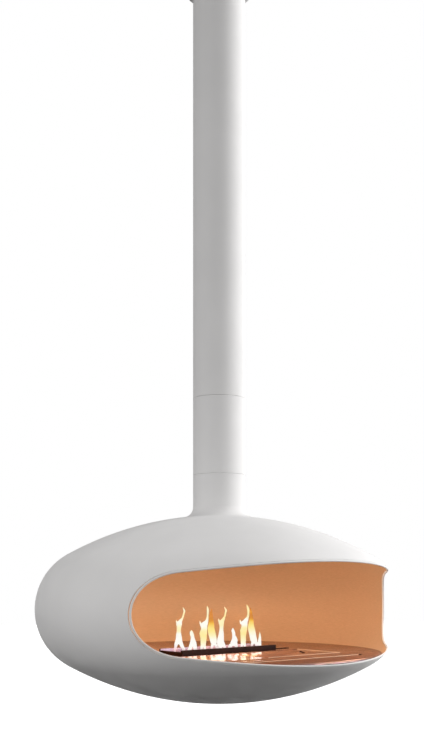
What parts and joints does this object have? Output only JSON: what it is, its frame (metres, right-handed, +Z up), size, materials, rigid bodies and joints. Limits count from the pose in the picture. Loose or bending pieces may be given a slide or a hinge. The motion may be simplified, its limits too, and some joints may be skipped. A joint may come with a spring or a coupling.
{
  "type": "hanging fireplace",
  "caption": "Round steel hearth hanging from a ceiling tube, turning on a ball bearing, with a wide front opening, a copper liner and a slot burner in its floor.",
  "frame": {"origin": "centre of the ceiling plate's top face, where it meets the ceiling", "axes": "+Z up, along the tube's axis; the hearth's opening faces -Y at rest; +X to the right when facing the +Y way"},
  "size_m": [1.26, 1.1884, 2.5787],
  "materials": {
    "white_coat": "satin",
    "copper_liner": "satin",
    "floor_copper": "gloss",
    "bare_steel": "brushed",
    "zinc": "zinc plated",
    "bronze": "machined",
    "dark_brown": "matt",
    "ceramic_fibre": "fibrous",
    "seal_rubber": "matt"
  },
  "bodies": {
    "ceiling": {"ceiling_plate": "bare_steel", "anchor_bolt_1": "zinc", "anchor_bolt_2": "zinc", "anchor_bolt_3": "zinc", "anchor_bolt_4": "zinc", "ceiling_rose": "white_coat", "rose_screw_1": "zinc", "rose_screw_2": "zinc", "rose_screw_3": "zinc", "hanger_tube": "white_coat", "tube_screw_1": "zinc", "tube_screw_2": "zinc", "tube_screw_3": "zinc", "tube_screw_4": "zinc", "bearing_seat": "bare_steel", "spindle_bush": "bronze", "lower_race": "bare_steel"},
    "cage": {"ball_cage": "bare_steel"},
    "hearth": {"swivel_tube": "white_coat", "hearth_shell": "white_coat", "opening_rim": "white_coat", "hearth_liner": "copper_liner", "access_cover": "copper_liner", "floor_plate": "floor_copper", "floor_screw_1": "floor_copper", "floor_screw_2": "floor_copper", "floor_screw_3": "floor_copper", "floor_screw_4": "floor_copper", "upper_race": "bare_steel", "swivel_spindle": "bare_steel", "floor_ring": "bare_steel", "burner_tray": "bare_steel", "burner_deck": "bare_steel", "guide_rail_front": "bare_steel", "guide_rail_back": "bare_steel", "fuel_tank": "bare_steel", "tank_bracket_left": "bare_steel", "tank_bracket_right": "bare_steel", "hatch_pin": "bare_steel", "flange_bolt_1": "zinc", "flange_bolt_2": "zinc", "flange_bolt_3": "zinc", "neck_bolt_1": "zinc", "neck_bolt_2": "zinc", "neck_bolt_3": "zinc", "cover_screw_1": "zinc", "cover_screw_2": "zinc", "cover_screw_3": "zinc", "spindle_nut": "zinc", "feed_pipe": "bronze", "burner_frame": "dark_brown", "ceramic_wick": "ceramic_fibre"},
    "shutter": {"shutter": "dark_brown", "shutter_tab": "dark_brown"},
    "hatch": {"hatch_panel": "floor_copper"},
    "cap": {"filler_cap": "dark_brown", "cap_seal": "seal_rubber"}
  },
  "joints": [
    {"name": "hearth_swivel", "type": "hinge", "parent": "ceiling", "child": "hearth", "pos_m": [0, 0, -1.472], "axis": [0, 0, 1], "continuous": true},
    {"name": "cage_spin", "type": "hinge", "parent": "ceiling", "child": "cage", "pos_m": [0, 0, -1.4203], "axis": [0, 0, 1], "continuous": true},
    {"name": "shutter_slide", "type": "slide", "parent": "hearth", "child": "shutter", "axis": [1, 0, 0], "range_m": [0, 0.022]},
    {"name": "hatch_hinge", "type": "hinge", "parent": "hearth", "child": "hatch", "pos_m": [0.086, -0.126, -2.349], "axis": [-1, 0, 0], "range_deg": [0, 100]},
    {"name": "cap_turn", "type": "hinge", "parent": "hearth", "child": "cap", "pos_m": [0.086, -0.228, -2.367], "axis": [0, 0, 1], "range_deg": [0, 90]}
  ],
  "couplings": [
    {"joint": "cage_spin", "follows": "hearth_swivel", "ratio": 0.5}
  ]
}
